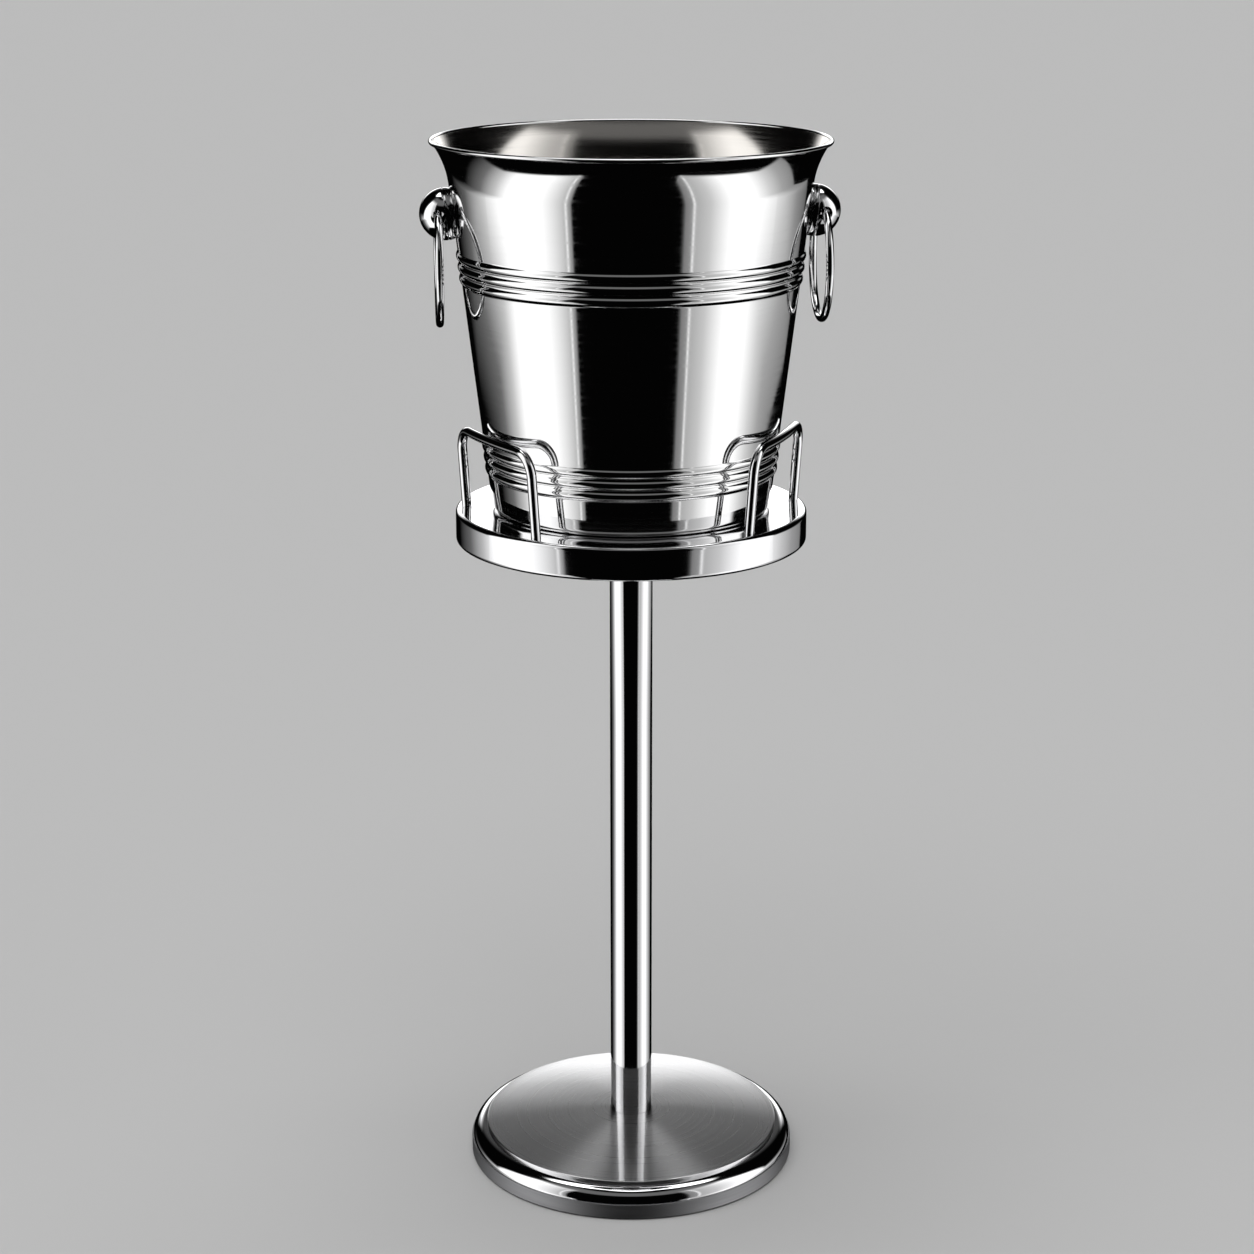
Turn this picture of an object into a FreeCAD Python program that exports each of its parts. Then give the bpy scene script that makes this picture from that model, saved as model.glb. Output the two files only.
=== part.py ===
import FreeCAD, Part
import math
import os
import Sketcher
from FreeCAD import Placement, Rotation, Vector

# Champagne bucket stand: a weighted round base, a tube post, a round tray with three bent rod
# retainers, and a tapered bucket that stands between the retainers and lifts out. The bucket has
# two ball knobs, each with a ring that hangs through it. Millimetres and degrees, +Z up, the
# origin on the floor under the middle of the base, the knobs on the X axis, the front at -Y.

DRIVING_SIZES = (
    # overall
    ("tray_height", 412.0),  # tray top above the floor
    ("fit_gap", 0.1),  # slip fit, each side
    # post
    ("post_dia", 25.4),
    ("post_wall", 1.2),
    ("plug_length", 26.0),  # plug in each end of the post
    ("bolt_dia", 8.0),  # thread that holds the base, and the tray
    # base cover, a spun sheet: brushed disc, quarter-round shoulder, upright skirt
    ("base_sheet", 1.0),
    ("base_dia", 199.0),
    ("base_skirt_top", 9.8),  # above the floor
    ("base_skirt_lift", 1.0),  # the skirt stays this far off the floor
    ("base_skirt_step", 0.8),  # the skirt stands this proud of the shoulder
    ("base_shoulder_radius", 8.4),
    ("base_disc_ledge", 0.3),  # flat ring between the shoulder and the disc's edge
    ("base_disc_edge", 20.4),  # height of the disc's edge above the floor
    ("base_disc_edge_radius", 0.9),
    ("base_disc_rise", 5.4),  # from the disc's edge to the post
    ("base_disc_crown", 950.0),  # radius of the disc's shallow crown
    # inside the base
    ("foot_ring_inset", 4.5),  # inside the skirt's outer face
    ("foot_ring_width", 12.0),
    ("foot_ring_height", 3.0),
    ("bottom_plate_sheet", 1.5),
    ("weight_gap", 0.5),  # air between the weight and the cover
    ("weight_web", 4.0),  # iron between the post and the bolt's washer
    ("bolt_pocket_dia", 30.0),
    ("bolt_washer_dia", 24.0),
    ("bolt_washer_thickness", 1.6),
    ("bolt_head_flats", 13.0),
    ("bolt_head_height", 5.3),
    ("bolt_reach", 18.0),  # length of thread in the lower plug
    # tray, and the hub under it
    ("tray_margin", 6.6),  # tray beyond the circle through the retainers' feet
    ("tray_sheet", 1.5),
    ("tray_skirt", 19.4),
    ("tray_edge_radius", 2.6),
    ("tray_hem_radius", 2.4),  # the skirt's lower edge turns in
    ("hub_flange_dia", 96.0),
    ("hub_flange_thickness", 4.0),
    ("hub_roof", 4.0),  # solid metal over the end of the post
    ("hub_boss_wall", 5.0),
    ("hub_boss_depth", 16.0),  # length of the post inside the boss
    ("tray_screw_head_dia", 16.4),
    ("tray_screw_reach", 18.0),  # length of thread in the upper plug
    ("tray_screw_sink", 0.3),  # the head lies this far under the tray top
    # retainers, bent from round rod
    ("rod_dia", 5.6),
    ("retainer_clearance", 15.0),  # middle of the feet beyond the bucket's foot
    ("retainer_span", 53.0),  # angle between the two feet of one retainer
    ("retainer_front_angle", 65.0),  # from the front to the middle of each front retainer
    ("retainer_height", 50.5),  # over the top of the rod, above the tray
    ("retainer_bend_radius", 13.0),
    ("retainer_bow_angle", 5.0),  # turn of the top bar's ends away from its chord
    ("retainer_lean", 3.8),  # outward lean
    ("retainer_foot_length", 2.5),  # upright stretch over the tray
    ("stud_dia", 4.0),
    ("stud_length", 8.5),  # below the tray top
    ("retainer_washer_dia", 7.9),
    ("retainer_washer_thickness", 1.0),
    ("retainer_nut_flats", 7.0),
    ("retainer_nut_height", 3.2),
    # bucket, a drawn sheet
    ("bucket_sheet", 1.0),
    ("bucket_height", 213.0),
    ("bucket_rim_dia", 228.8),
    ("wall_taper", 6.8),  # wall from the vertical
    ("lip_height", 25.5),  # flared stretch under the rim
    ("lip_flare", 11.0),  # from the wall's line to the outside of the rim
    ("rim_bead_dia", 2.5),
    ("foot_corner_radius", 4.5),
    ("kick_inset", 19.0),  # from the bucket's foot in to the raised middle of its bottom
    ("kick_height", 3.0),
    ("kick_slope", 4.0),
    ("rib_pitch", 6.6),
    ("rib_width", 5.2),
    ("rib_bulge", 1.25),
    ("upper_ribs_drop", 72.2),  # middle rib of the upper band, below the rim
    ("lower_ribs_height", 30.5),  # middle rib of the lower band, above the bucket's bottom
    # knobs and rings
    ("knob_drop", 41.3),  # where its axis meets the wall, below the rim
    ("knob_dia", 29.8),
    ("knob_wall", 1.5),
    ("knob_seam", 0.35),  # groove where the dome meets its base
    ("collar_depth", 3.9),  # base, from the wall to the seam
    ("collar_bulge", 10.0),  # radius of the base's barrel-shaped side
    ("collar_floor", 2.6),  # metal over the wall inside the base
    ("spigot_height", 1.0),  # register that centres the dome
    ("spigot_wall", 1.2),
    ("eye_dia", 8.0),  # hole for the ring
    ("eye_offset", 4.4),  # from the seam to the eye's middle
    ("ring_radius", 32.2),  # to the middle of the wire
    ("ring_wire_dia", 4.5),
    ("ring_sag", 0.5),  # the wire hangs this far under the eye's middle
    ("knob_screw_dia", 5.0),
    ("knob_screw_head_dia", 9.5),
    ("knob_screw_head_height", 2.8),
    ("knob_screw_reach", 2.2),  # length of thread in the base
    ("knob_washer_dia", 13.0),
    ("knob_washer_thickness", 1.2),
)

SIDES = (("left", 180.0), ("right", 0.0))
RIBS_IN_A_BAND = (-1, 0, 1)


class Size:
    """A number together with the sheet expression that gives it."""

    def __init__(self, value, text):
        self.value = value
        self.text = text

    def __add__(self, other):
        return Size(self.value + number(other), "(%s + %s)" % (self.text, words(other)))

    def __sub__(self, other):
        return Size(self.value - number(other), "(%s - %s)" % (self.text, words(other)))

    def __mul__(self, other):
        return Size(self.value * number(other), "%s * %s" % (self.text, words(other)))

    def __truediv__(self, other):
        return Size(self.value / number(other), "%s / %s" % (self.text, words(other)))

    def __neg__(self):
        return Size(-self.value, "(0 - %s)" % self.text)


def number(item):
    return item.value if isinstance(item, Size) else float(item)


def words(item):
    return "(%s)" % item.text if isinstance(item, Size) else "(%r)" % float(item)


def sine(angle):
    return Size(math.sin(math.radians(angle.value)), "sin(%s * 1 deg)" % words(angle))


def cosine(angle):
    return Size(math.cos(math.radians(angle.value)), "cos(%s * 1 deg)" % words(angle))


def tangent(angle):
    return Size(math.tan(math.radians(angle.value)), "tan(%s * 1 deg)" % words(angle))


def root(item):
    return Size(math.sqrt(item.value), "sqrt(%s)" % words(item))


def fill_sheet(doc):
    """Writes the driving sizes into the sheet and returns them by name."""
    sheet = doc.addObject("Spreadsheet::Sheet", "Sizes")
    for row, (alias, value) in enumerate(DRIVING_SIZES, 1):
        sheet.set("A%d" % row, alias)
        sheet.set("B%d" % row, str(value))
        sheet.setAlias("B%d" % row, alias)
    doc.recompute()
    return {alias: Size(float(sheet.get(alias)), "Sizes.%s" % alias) for alias, _ in DRIVING_SIZES}


class Outline:
    """A closed outline, drawn point by point with straight runs and arcs."""

    def __init__(self, x, y):
        self.points = [(x, y)]
        self.edges = []

    def line(self, x, y):
        self.edges.append(("line", None, False))
        self.points.append((x, y))
        return self

    def arc(self, x, y, radius, turns_left):
        self.edges.append(("arc", radius, turns_left))
        self.points.append((x, y))
        return self

    def close(self):
        self.edges.append(("line", None, False))
        return self


def arc_curve(start, end, radius, turns_left):
    """The short arc from start to end, which turns left or right on its way."""
    chord = end - start
    half = chord.Length / 2
    normal = Vector(-chord.y, chord.x, 0).normalize()
    side = 1 if turns_left else -1
    centre = (start + end) / 2 + normal * side * math.sqrt(max(radius * radius - half * half, 0))
    first, last = (start, end) if turns_left else (end, start)
    from_angle = math.atan2(first.y - centre.y, first.x - centre.x)
    to_angle = math.atan2(last.y - centre.y, last.x - centre.x)
    circle = Part.Circle(centre, Vector(0, 0, 1), radius)
    return Part.ArcOfCircle(circle, from_angle, to_angle)


def bind(sketch, constraint, size):
    index = sketch.addConstraint(constraint)
    if isinstance(size, Size):
        sketch.setExpression("Constraints[%d]" % index, size.text)


def place_point(sketch, edge, end, x, y):
    """Ties one end of an edge to its place, or to an axis where its place is zero."""
    for name, axis, size in (("DistanceX", -2, x), ("DistanceY", -1, y)):
        if not isinstance(size, Size) and size == 0:
            sketch.addConstraint(Sketcher.Constraint("PointOnObject", edge, end, axis))
        else:
            bind(sketch, Sketcher.Constraint(name, -1, 1, edge, end, number(size)), size)


def draw_outline(sketch, outline):
    count = len(outline.edges)
    starts = []
    for index, (kind, radius, turns_left) in enumerate(outline.edges):
        here = outline.points[index]
        there = outline.points[(index + 1) % count]
        start = Vector(number(here[0]), number(here[1]), 0)
        end = Vector(number(there[0]), number(there[1]), 0)
        if kind == "line":
            edge = sketch.addGeometry(Part.LineSegment(start, end), False)
            starts.append((edge, 1, 2))
        else:
            curve = arc_curve(start, end, number(radius), turns_left)
            edge = sketch.addGeometry(curve, False)
            starts.append((edge, 1, 2) if turns_left else (edge, 2, 1))
            bind(sketch, Sketcher.Constraint("Radius", edge, number(radius)), radius)
    for index, (edge, first, last) in enumerate(starts):
        following = starts[(index + 1) % count]
        sketch.addConstraint(Sketcher.Constraint("Coincident", edge, last, following[0], following[1]))
        place_point(sketch, edge, first, *outline.points[index])


def draw_circle(sketch, x, y, radius):
    circle = Part.Circle(Vector(number(x), number(y), 0), Vector(0, 0, 1), number(radius))
    edge = sketch.addGeometry(circle, False)
    place_point(sketch, edge, 3, x, y)
    bind(sketch, Sketcher.Constraint("Radius", edge, number(radius)), radius)


def new_body(doc, label):
    body = doc.addObject("PartDesign::Body", "Body_" + label)
    body.Label = label
    return body


def new_sketch(body, role):
    """A sketch on one of the body's own origin planes."""
    sketch = body.newObject("Sketcher::SketchObject", "Sketch")
    plane = [item for item in body.Origin.OriginFeatures if item.Role == role][0]
    sketch.AttachmentSupport = [(plane, "")]
    sketch.MapMode = "FlatFace"
    return sketch


def revolve(body, outline, axis="V_Axis"):
    """Turns an outline on the XZ plane about the upright or the level axis."""
    sketch = new_sketch(body, "XZ_Plane")
    draw_outline(sketch, outline)
    turned = body.newObject("PartDesign::Revolution", "Revolution")
    turned.Profile = sketch
    turned.ReferenceAxis = (sketch, [axis])
    turned.Angle = 360
    sketch.Visibility = False
    return turned


def lift(item, height):
    item.setExpression(".Placement.Base.z", height.text)
    return item


def ring_outline(inner, outer, bottom, top):
    """The half section of a plain ring or tube."""
    return Outline(inner, bottom).line(outer, bottom).line(outer, top).line(inner, top).close()


# The base. Heights are above the floor.


def base_levels(s):
    """Heights in the stack inside the base, from the floor up."""
    plate_bottom = s["foot_ring_height"]
    plate_top = plate_bottom + s["bottom_plate_sheet"]
    washer_bottom = plate_top + s["bolt_head_height"] - s["bolt_washer_thickness"] / 2
    washer_top = washer_bottom + s["bolt_washer_thickness"]
    post_bottom = washer_top + s["weight_web"]
    return plate_bottom, plate_top, washer_bottom, washer_top, post_bottom


def disc_radius(s):
    shoulder = s["base_dia"] / 2 - s["base_skirt_step"] - s["base_shoulder_radius"]
    return shoulder - s["base_disc_ledge"]


def base_cover(doc, s):
    body = new_body(doc, "base_cover")
    sheet = s["base_sheet"]
    skirt = s["base_dia"] / 2
    shoulder = skirt - s["base_skirt_step"]
    bend = s["base_shoulder_radius"]
    disc = disc_radius(s)
    edge = s["base_disc_edge_radius"]
    hole = s["post_dia"] / 2 + s["fit_gap"]
    top = s["base_disc_edge"]
    middle = top + s["base_disc_rise"]
    shoulder_low = s["base_skirt_top"]
    shoulder_high = shoulder_low + bend
    shoulder_start = shoulder - bend
    outline = Outline(hole, middle - sheet)
    outline.arc(disc - edge, top - sheet, s["base_disc_crown"] - sheet, False)
    outline.line(disc - sheet, shoulder_high - sheet)
    outline.line(shoulder_start, shoulder_high - sheet)
    outline.arc(shoulder - sheet, shoulder_low, bend - sheet, False)
    outline.line(skirt - sheet, shoulder_low - sheet)
    outline.line(skirt - sheet, s["base_skirt_lift"])
    outline.line(skirt, s["base_skirt_lift"])
    outline.line(skirt, shoulder_low - sheet / 2)
    outline.arc(skirt - sheet / 2, shoulder_low, sheet / 2, True)
    outline.line(shoulder, shoulder_low)
    outline.arc(shoulder_start, shoulder_high, bend, True)
    outline.line(disc, shoulder_high)
    outline.line(disc, top - edge)
    outline.arc(disc - edge, top, edge, True)
    outline.arc(hole, middle, s["base_disc_crown"], True)
    revolve(body, outline.close())
    return body


def base_weight(doc, s):
    """The iron casting follows the inside of the cover and holds the foot of the post."""
    body = new_body(doc, "base_weight")
    plate_top, washer_top, post_bottom = base_levels(s)[1], base_levels(s)[3], base_levels(s)[4]
    gap = s["base_sheet"] + s["weight_gap"]
    bolt_hole = s["bolt_dia"] / 2 + s["fit_gap"] * 2
    socket = s["post_dia"] / 2 + s["fit_gap"]
    shoulder = s["base_dia"] / 2 - s["base_skirt_step"] - gap
    bend = s["base_shoulder_radius"] - gap
    rim = disc_radius(s) - gap - s["base_disc_edge_radius"]
    rim_top = s["base_disc_edge"] - gap
    outline = Outline(bolt_hole, washer_top)
    outline.line(s["bolt_pocket_dia"] / 2, washer_top)
    outline.line(s["bolt_pocket_dia"] / 2, plate_top)
    outline.line(shoulder, plate_top)
    outline.line(shoulder, s["base_skirt_top"])
    outline.arc(shoulder - bend, s["base_skirt_top"] + bend, bend, True)
    outline.line(rim, s["base_skirt_top"] + bend)
    outline.line(rim, rim_top)
    outline.line(socket, rim_top + s["base_disc_rise"])
    outline.line(socket, post_bottom)
    outline.line(bolt_hole, post_bottom)
    revolve(body, outline.close())
    return body


def bottom_plate(doc, s):
    body = new_body(doc, "bottom_plate")
    plate_bottom, plate_top = base_levels(s)[:2]
    rim = s["base_dia"] / 2 - s["base_sheet"] - s["fit_gap"]
    revolve(body, ring_outline(s["bolt_pocket_dia"] / 2, rim, plate_bottom, plate_top))
    return body


def foot_ring(doc, s):
    """A rubber ring, rounded underneath, that the stand rests on."""
    body = new_body(doc, "foot_ring")
    outer = s["base_dia"] / 2 - s["foot_ring_inset"]
    inner = outer - s["foot_ring_width"]
    height = s["foot_ring_height"]
    ease = height / 3
    outline = Outline(inner + ease, 0)
    outline.line(outer - ease, 0)
    outline.arc(outer, ease, ease, True)
    outline.line(outer, height)
    outline.line(inner, height)
    outline.line(inner, ease)
    outline.edges.append(("arc", ease, True))
    revolve(body, outline)
    return body


def base_washer(doc, s):
    body = new_body(doc, "base_washer")
    washer_bottom, washer_top = base_levels(s)[2:4]
    bore = s["bolt_dia"] / 2 + s["fit_gap"] * 2
    revolve(body, ring_outline(bore, s["bolt_washer_dia"] / 2, washer_bottom, washer_top))
    return body


def base_bolt(doc, s):
    """A hexagon bolt that pulls the post down on the weight."""
    washer_bottom, post_bottom = base_levels(s)[2], base_levels(s)[4]
    head = doc.addObject("Part::Prism", "BoltHead")
    head.Polygon = 6
    head.setExpression("Circumradius", (s["bolt_head_flats"] / 2 / cosine(Size(30.0, "30"))).text)
    head.setExpression("Height", s["bolt_head_height"].text)
    lift(head, washer_bottom - s["bolt_head_height"])
    shank = doc.addObject("Part::Cylinder", "BoltShank")
    shank.setExpression("Radius", (s["bolt_dia"] / 2).text)
    shank.setExpression("Height", (post_bottom + s["bolt_reach"] - washer_bottom).text)
    lift(shank, washer_bottom)
    bolt = doc.addObject("Part::Fuse", "BaseBolt")
    bolt.Base = head
    bolt.Tool = shank
    bolt.Label = "base_bolt"
    return bolt


# The post and its plugs.


def post_top(s):
    return s["tray_height"] - s["tray_sheet"] - s["hub_roof"]


def post_tube(doc, s):
    body = new_body(doc, "post_tube")
    outer = s["post_dia"] / 2
    bottom = base_levels(s)[4]
    revolve(body, ring_outline(outer - s["post_wall"], outer, bottom, post_top(s)))
    return body


def post_plug(doc, s, label, bottom):
    """A turned steel plug, tapped through, pressed into one end of the tube."""
    body = new_body(doc, label)
    outer = s["post_dia"] / 2 - s["post_wall"]
    revolve(body, ring_outline(s["bolt_dia"] / 2, outer, 0, s["plug_length"]))
    lift(body, bottom)
    return body


# The tray and what is under it. Heights are from the tray's top face, which is lifted at the end.


def screw_cone(s):
    """Top radius, foot radius and height of the right-angled cone under the screw's head."""
    top = s["tray_screw_head_dia"] / 2
    foot = s["bolt_dia"] / 2
    return top, foot, top - foot


def feet_circle(s):
    """Radius of the circle through the feet of the retainers."""
    return foot_radius(s) + s["retainer_clearance"]


def tray(doc, s):
    body = new_body(doc, "tray")
    sheet = s["tray_sheet"]
    outer = feet_circle(s) + s["tray_margin"]
    edge = s["tray_edge_radius"]
    hem = s["tray_hem_radius"]
    top_radius = screw_cone(s)[0] + s["fit_gap"] + s["tray_screw_sink"]
    outline = Outline(top_radius - sheet, -sheet)
    outline.line(outer - edge, -sheet)
    outline.arc(outer - sheet, -edge, edge - sheet, False)
    outline.line(outer - sheet, hem - s["tray_skirt"])
    outline.arc(outer - hem, sheet - s["tray_skirt"], hem - sheet, False)
    outline.line(outer - hem, -s["tray_skirt"])
    outline.arc(outer, hem - s["tray_skirt"], hem, True)
    outline.line(outer, -edge)
    outline.arc(outer - edge, 0, edge, True)
    outline.line(top_radius, 0)
    revolve(body, outline.close())
    drill_stud_holes(body, s)
    return lift(body, s["tray_height"])


def retainer_angles(s):
    """Middle of each retainer, measured from +X towards +Y."""
    front = Size(270.0, "270")
    back = Size(90.0, "90")
    spread = s["retainer_front_angle"]
    return (("left", front - spread), ("right", front + spread), ("back", back))


def stud_places(s):
    circle = feet_circle(s)
    places = []
    for _, middle in retainer_angles(s):
        for turn in (middle - s["retainer_span"] / 2, middle + s["retainer_span"] / 2):
            places.append((circle * cosine(turn), circle * sine(turn)))
    return places


def drill_stud_holes(body, s):
    sketch = new_sketch(body, "XY_Plane")
    for x, y in stud_places(s):
        draw_circle(sketch, x, y, s["stud_dia"] / 2 + s["fit_gap"])
    holes = body.newObject("PartDesign::Pocket", "StudHoles")
    holes.Profile = sketch
    holes.Type = "Length"
    holes.setExpression("Length", (s["tray_sheet"] * 4).text)
    holes.Midplane = True
    sketch.Visibility = False


def tray_hub(doc, s):
    """A turned flange under the tray with a boss that the post enters."""
    body = new_body(doc, "tray_hub")
    _, foot, _ = screw_cone(s)
    top = -s["tray_sheet"]
    flange_bottom = top - s["hub_flange_thickness"]
    post_end = top - s["hub_roof"]
    socket = s["post_dia"] / 2 + s["fit_gap"]
    boss = socket + s["hub_boss_wall"]
    boss_bottom = post_end - s["hub_boss_depth"]
    cone_top = screw_cone(s)[0] + s["fit_gap"] + s["tray_screw_sink"] - s["tray_sheet"]
    bore = foot + s["fit_gap"]
    outline = Outline(cone_top, top)
    outline.line(bore, top - (cone_top - bore))
    outline.line(bore, post_end)
    outline.line(socket, post_end)
    outline.line(socket, boss_bottom)
    outline.line(boss, boss_bottom)
    outline.line(boss, flange_bottom)
    outline.line(s["hub_flange_dia"] / 2, flange_bottom)
    outline.line(s["hub_flange_dia"] / 2, top)
    revolve(body, outline.close())
    return lift(body, s["tray_height"])


def tray_screw(doc, s):
    """A countersunk screw with a cross-shaped socket, from the tray into the post's plug."""
    body = new_body(doc, "tray_screw")
    top, foot, cone = screw_cone(s)
    head_top = -s["tray_screw_sink"]
    tip = -(s["tray_sheet"] + s["hub_roof"] + s["tray_screw_reach"])
    outline = Outline(0, head_top).line(0, tip).line(foot, tip).line(foot, head_top - cone)
    outline.line(top, head_top)
    revolve(body, outline.close())
    sketch = new_sketch(body, "XY_Plane")
    arm = top * 0.6
    half = top * 0.12
    cross = Outline(-arm, -half).line(-half, -half).line(-half, -arm).line(half, -arm)
    cross.line(half, -half).line(arm, -half).line(arm, half).line(half, half)
    cross.line(half, arm).line(-half, arm).line(-half, half).line(-arm, half)
    draw_outline(sketch, cross.close())
    slot = body.newObject("PartDesign::Pocket", "CrossSlot")
    slot.Profile = sketch
    slot.Type = "Length"
    slot.setExpression("Length", (s["tray_screw_sink"] * 2 + cone).text)
    slot.Midplane = True
    sketch.Visibility = False
    return lift(body, s["tray_height"])


# The retainers. Each is swept along a path in space, so its shape is made here from the sheet.


def retainer_path(s):
    """Centre line of one retainer: X along the chord of its feet, Y outward, Z up."""
    half = number(feet_circle(s)) * math.sin(math.radians(number(s["retainer_span"]) / 2))
    bend = number(s["retainer_bend_radius"])
    foot = number(s["retainer_foot_length"])
    top = number(s["retainer_height"]) - number(s["rod_dia"]) / 2
    bow = math.radians(number(s["retainer_bow_angle"]))
    corner_x = half - bend * math.cos(bow)
    corner_y = bend * math.sin(bow)
    bar_radius = corner_x / math.sin(bow)
    crest = corner_y + bar_radius * (1 - math.cos(bow))
    low, high = foot / 2, top - bend
    dip = bend * math.sqrt(0.5)
    mid_x = half - (bend - dip) * math.cos(bow)
    mid_y = (bend - dip) * math.sin(bow)
    right = [Vector(half, 0, low), Vector(half, 0, high), Vector(mid_x, mid_y, high + dip),
             Vector(corner_x, corner_y, top)]
    left = [Vector(-point.x, point.y, point.z) for point in right]
    edges = [
        Part.LineSegment(left[0], left[1]).toShape(),
        Part.Arc(left[1], left[2], left[3]).toShape(),
        Part.Arc(left[3], Vector(0, crest, top), right[3]).toShape(),
        Part.Arc(right[3], right[2], right[1]).toShape(),
        Part.LineSegment(right[1], right[0]).toShape(),
    ]
    return Part.Wire(edges), half


def retainer_shape(s):
    """A bent rod that leans outward on two upright feet, each with a stud through the tray."""
    rod = number(s["rod_dia"]) / 2
    path, half = retainer_path(s)
    start = path.Edges[0].Vertexes[0].Point
    section = Part.Wire(Part.makeCircle(rod, start, Vector(0, 0, 1)))
    hoop = path.makePipeShell([section], True, True, 2)
    hoop.rotate(Vector(0, 0, 0), Vector(1, 0, 0), -number(s["retainer_lean"]))
    foot = number(s["retainer_foot_length"])
    stud = number(s["stud_dia"]) / 2
    pieces = []
    for side in (-1, 1):
        pieces.append(Part.makeCylinder(rod, foot, Vector(side * half, 0, 0)))
        below = Vector(side * half, 0, -number(s["stud_length"]))
        pieces.append(Part.makeCylinder(stud, number(s["stud_length"]) + foot / 2, below))
    return hoop.multiFuse(pieces).removeSplitter()


def retainer(doc, s, side, middle):
    """One retainer, with its chord across the radius that runs to its middle."""
    item = doc.addObject("Part::Feature", "Retainer_" + side)
    item.Label = "retainer_" + side
    item.Shape = retainer_shape(s)
    angle = math.radians(number(middle))
    chord = number(feet_circle(s)) * math.cos(math.radians(number(s["retainer_span"]) / 2))
    base = Vector(chord * math.cos(angle), chord * math.sin(angle), number(s["tray_height"]))
    item.Placement = Placement(base, Rotation(Vector(0, 0, 1), number(middle) - 90))
    return item


def under_tray(s, shape, depth):
    """Copies of a fastener on every stud, with its top face at a depth under the tray top."""
    copies = []
    for x, y in stud_places(s):
        copy = shape.copy()
        copy.translate(Vector(number(x), number(y), number(s["tray_height"]) - depth))
        copies.append(copy)
    return Part.makeCompound(copies)


def retainer_washers(doc, s):
    thickness = number(s["retainer_washer_thickness"])
    bore = number(s["stud_dia"]) / 2 + number(s["fit_gap"])
    drop = Vector(0, 0, -thickness)
    ring = Part.makeCylinder(number(s["retainer_washer_dia"]) / 2, thickness, drop)
    ring = ring.cut(Part.makeCylinder(bore, thickness, drop))
    item = doc.addObject("Part::Feature", "RetainerWashers")
    item.Label = "retainer_washers"
    item.Shape = under_tray(s, ring, number(s["tray_sheet"]))
    return item


def retainer_nuts(doc, s):
    height = number(s["retainer_nut_height"])
    corner = number(s["retainer_nut_flats"]) / 2 / math.cos(math.radians(30))
    turns = [math.radians(60 * step) for step in range(7)]
    drop = [Vector(corner * math.cos(turn), corner * math.sin(turn), -height) for turn in turns]
    nut = Part.Face(Part.makePolygon(drop)).extrude(Vector(0, 0, height))
    ease = Part.makeCone(corner * 1.02, corner * 0.9, height * 0.45, Vector(0, 0, -height * 0.55),
                         Vector(0, 0, -1))
    ease = ease.fuse(Part.makeCylinder(corner * 1.02, height * 0.55, Vector(0, 0, -height * 0.55)))
    bore = Part.makeCylinder(number(s["stud_dia"]) / 2, height, Vector(0, 0, -height))
    nut = nut.common(ease).cut(bore)
    depth = number(s["tray_sheet"]) + number(s["retainer_washer_thickness"])
    item = doc.addObject("Part::Feature", "RetainerNuts")
    item.Label = "retainer_nuts"
    item.Shape = under_tray(s, nut, depth)
    return item


# The bucket. Heights are above its own bottom.


def foot_radius(s):
    """Where the line of the straight wall meets the tray."""
    straight = s["bucket_height"] - s["lip_height"]
    return s["bucket_rim_dia"] / 2 - s["lip_flare"] - tangent(s["wall_taper"]) * straight


def wall_radius(s, height):
    """Outside of the straight wall at a height."""
    return foot_radius(s) + tangent(s["wall_taper"]) * height


def lip_points(s):
    """Start, end, arc centre and radius of the flared lip's outer face."""
    bead = s["rim_bead_dia"] / 2
    start_z = s["bucket_height"] - s["lip_height"]
    start_x = wall_radius(s, start_z)
    end_x = s["bucket_rim_dia"] / 2 - bead
    end_z = s["bucket_height"] - bead
    across = end_x - start_x
    up = end_z - start_z
    sin, cos = sine(s["wall_taper"]), cosine(s["wall_taper"])
    radius = (across * across + up * up) / ((across * cos - up * sin) * 2)
    centre = (start_x + radius * cos, start_z - radius * sin)
    return (start_x, start_z), (end_x, end_z), centre, radius


def rib_heights(s):
    """Middle of every rib, from the lowest up."""
    bands = (s["lower_ribs_height"], s["bucket_height"] - s["upper_ribs_drop"])
    return [band + s["rib_pitch"] * step for band in bands for step in RIBS_IN_A_BAND]


def rib_radius(s, half, bulge):
    """Radius of the round rib on a sloping wall, from its half height and how far it stands out."""
    along = half / cosine(s["wall_taper"])
    return (along * along + bulge * bulge) / (bulge * 2)


def bucket_outside(outline, s):
    half = s["rib_width"] / 2
    radius = rib_radius(s, half, s["rib_bulge"])
    for height in rib_heights(s):
        outline.line(wall_radius(s, height - half), height - half)
        outline.arc(wall_radius(s, height + half), height + half, radius, True)
    start, end, _, lip_radius = lip_points(s)
    outline.line(*start)
    outline.arc(end[0], end[1], lip_radius, False)


def bucket_inside(outline, s):
    sheet = s["bucket_sheet"]
    slant = sheet / cosine(s["wall_taper"])
    start, end, centre, lip_radius = lip_points(s)
    share = sheet / lip_radius
    outline.line(end[0] + (end[0] - centre[0]) * share, end[1] + (end[1] - centre[1]) * share)
    inner_start = (start[0] + (start[0] - centre[0]) * share, start[1] + (start[1] - centre[1]) * share)
    outline.arc(inner_start[0], inner_start[1], lip_radius + sheet, True)
    half = s["rib_width"] / 2 - sheet * 0.45
    bulge = s["rib_bulge"] - sheet * 0.12
    radius = rib_radius(s, half, bulge)
    for height in reversed(rib_heights(s)):
        outline.line(wall_radius(s, height + half) - slant, height + half)
        outline.arc(wall_radius(s, height - half) - slant, height - half, radius, False)


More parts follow.
